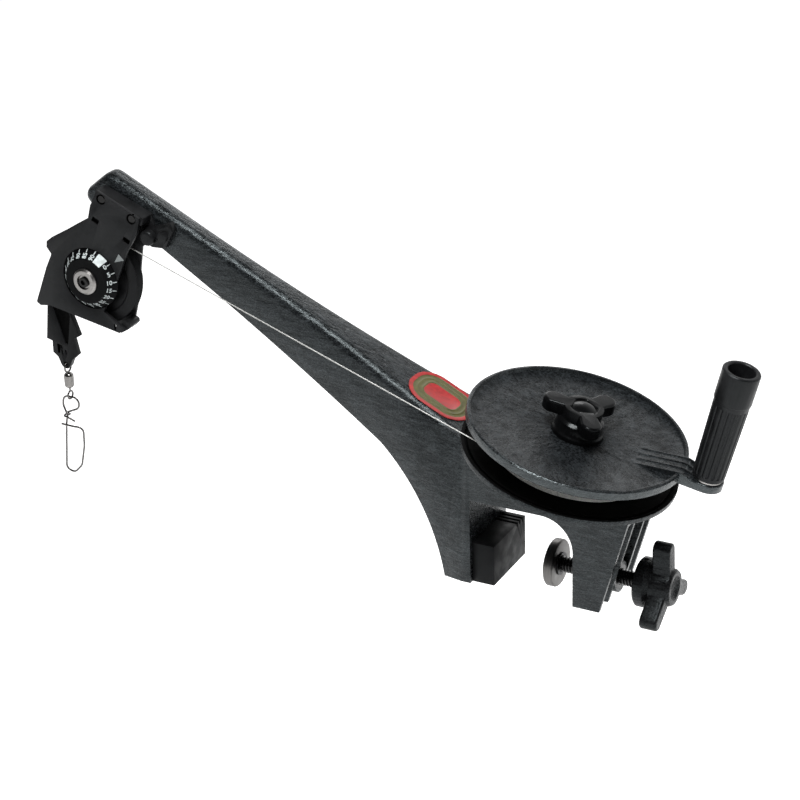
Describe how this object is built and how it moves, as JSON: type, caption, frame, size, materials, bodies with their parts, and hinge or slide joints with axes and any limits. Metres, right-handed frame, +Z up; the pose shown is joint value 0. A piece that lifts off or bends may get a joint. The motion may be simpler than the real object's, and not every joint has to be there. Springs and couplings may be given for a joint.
{
  "type": "manual downrigger",
  "caption": "Hand-cranked downrigger: a boom with a gunwale clamp, a tilted horizontal cable reel with crank and clutch knob, and a tip pulley with a depth counter, swivel and snap.",
  "frame": {"origin": "middle of the flat seat that rests on the gunwale, midway across the frame and between the clamp legs' inner ends of that seat", "axes": "+X from the boom's tip towards the crank, +Y away from the side with the counter dial, +Z up"},
  "size_m": [0.6391, 0.18, 0.3052],
  "materials": {
    "moulding": "satin, lightly grained glass-filled moulding",
    "rubber": "matte",
    "steel": "satin",
    "foot_metal": "dull satin",
    "black_thread": "satin black",
    "knob": "half gloss",
    "grip": "satin",
    "brass": "satin",
    "friction": "matte fibre",
    "nylon": "matte",
    "badge": "satin, bare of any print",
    "cable": "stranded wire",
    "terminator": "satin",
    "swivel": "polished wire"
  },
  "bodies": {
    "frame": {"frame": "moulding", "jaw_pad": "rubber", "jaw_pad_screws": "steel", "clamp_nut": "brass", "badge": "badge", "reel_shaft": "steel", "brake_disc": "friction", "head_housing": "moulding", "counter_plate": "moulding", "head_screws": "steel", "pulley_axle": "steel", "dial_washer": "foot_metal", "dial_screw": "steel", "cable_run": "cable"},
    "reel": {"reel": "moulding", "reel_bushing": "brass", "cable_inner_layers": "cable", "cable_winding": "cable", "clutch_disc": "friction", "grip_bolt": "steel", "grip_washer": "steel", "grip_nut": "steel"},
    "grip": {"crank_grip": "grip"},
    "thrust": {"thrust_washer": "nylon", "spring_washer": "steel"},
    "clutch_knob": {"clutch_knob": "knob", "knob_insert": "brass"},
    "clamp_foot": {"clamp_foot": "foot_metal", "foot_clip": "steel"},
    "clamp_screw": {"clamp_screw": "black_thread", "clamp_knob": "knob", "clamp_knob_pin": "steel"},
    "pulley": {"pulley": "nylon", "pulley_bushing": "brass"},
    "wobble": {"wobble_gear": "nylon"},
    "dial": {"dial": "nylon"},
    "terminator": {"cable_terminator": "terminator", "terminator_cover": "terminator", "terminator_screw": "steel"},
    "swivel": {"swivel_ring": "swivel", "swivel_barrel": "swivel"},
    "swivel_eye": {"swivel_eye": "swivel"},
    "snap": {"snap": "swivel"}
  },
  "joints": [
    {"name": "reel_turn", "type": "hinge", "parent": "frame", "child": "reel", "pos_m": [0.04, 0, 0.0665], "axis": [0.2504, 0, 0.9681], "continuous": true},
    {"name": "grip_spin", "type": "hinge", "parent": "reel", "child": "grip", "pos_m": [0.14447, 0.01229, 0.03948], "axis": [0.2504, 0, 0.9681], "continuous": true},
    {"name": "thrust_lift", "type": "slide", "parent": "frame", "child": "thrust", "axis": [0.2504, 0, 0.9681], "range_m": [0, 0.001]},
    {"name": "clutch_knob_turn", "type": "hinge", "parent": "thrust", "child": "clutch_knob", "pos_m": [0.04, 0, 0.0665], "axis": [0.2504, 0, 0.9681], "range_deg": [0, 240]},
    {"name": "clamp_advance", "type": "slide", "parent": "frame", "child": "clamp_foot", "axis": [1, 0, 0], "range_m": [-0.011, 0.02]},
    {"name": "clamp_screw_turn", "type": "hinge", "parent": "clamp_foot", "child": "clamp_screw", "pos_m": [0.0945, 0, -0.0595], "axis": [1, 0, 0], "range_deg": [-1523, 2769.2]},
    {"name": "pulley_turn", "type": "hinge", "parent": "frame", "child": "pulley", "pos_m": [-0.3976, -0.018, 0.1321], "axis": [0, 1, 0], "continuous": true},
    {"name": "wobble_turn", "type": "hinge", "parent": "pulley", "child": "wobble", "pos_m": [-0.3971, -0.0288, 0.1321], "axis": [0, 1, 0], "continuous": true},
    {"name": "dial_turn", "type": "hinge", "parent": "frame", "child": "dial", "pos_m": [-0.3976, -0.032, 0.1321], "axis": [0, 1, 0], "continuous": true},
    {"name": "terminator_swing", "type": "hinge", "parent": "frame", "child": "terminator", "pos_m": [-0.4376, -0.018, 0.098], "axis": [0, 1, 0], "range_deg": [-10, 10]},
    {"name": "swivel_swing", "type": "hinge", "parent": "terminator", "child": "swivel", "pos_m": [-0.4376, -0.018, 0.0429], "axis": [0, 1, 0], "range_deg": [-60, 60]},
    {"name": "swivel_spin", "type": "hinge", "parent": "swivel", "child": "swivel_eye", "pos_m": [-0.4376, -0.018, 0.0191], "axis": [0, 0, 1], "continuous": true},
    {"name": "snap_swing", "type": "hinge", "parent": "swivel_eye", "child": "snap", "pos_m": [-0.4376, -0.018, 0.00985], "axis": [1, 0, 0], "range_deg": [-60, 60]}
  ],
  "couplings": [
    {"joint": "thrust_lift", "follows": "clutch_knob_turn", "m_per_rad": 0.00023873},
    {"joint": "clamp_advance", "follows": "clamp_screw_turn", "m_per_rad": 0.0004138},
    {"joint": "pulley_turn", "follows": "reel_turn", "ratio": 1.6075},
    {"joint": "wobble_turn", "follows": "reel_turn", "ratio": -1.6498},
    {"joint": "dial_turn", "follows": "reel_turn", "ratio": 0.010917}
  ]
}
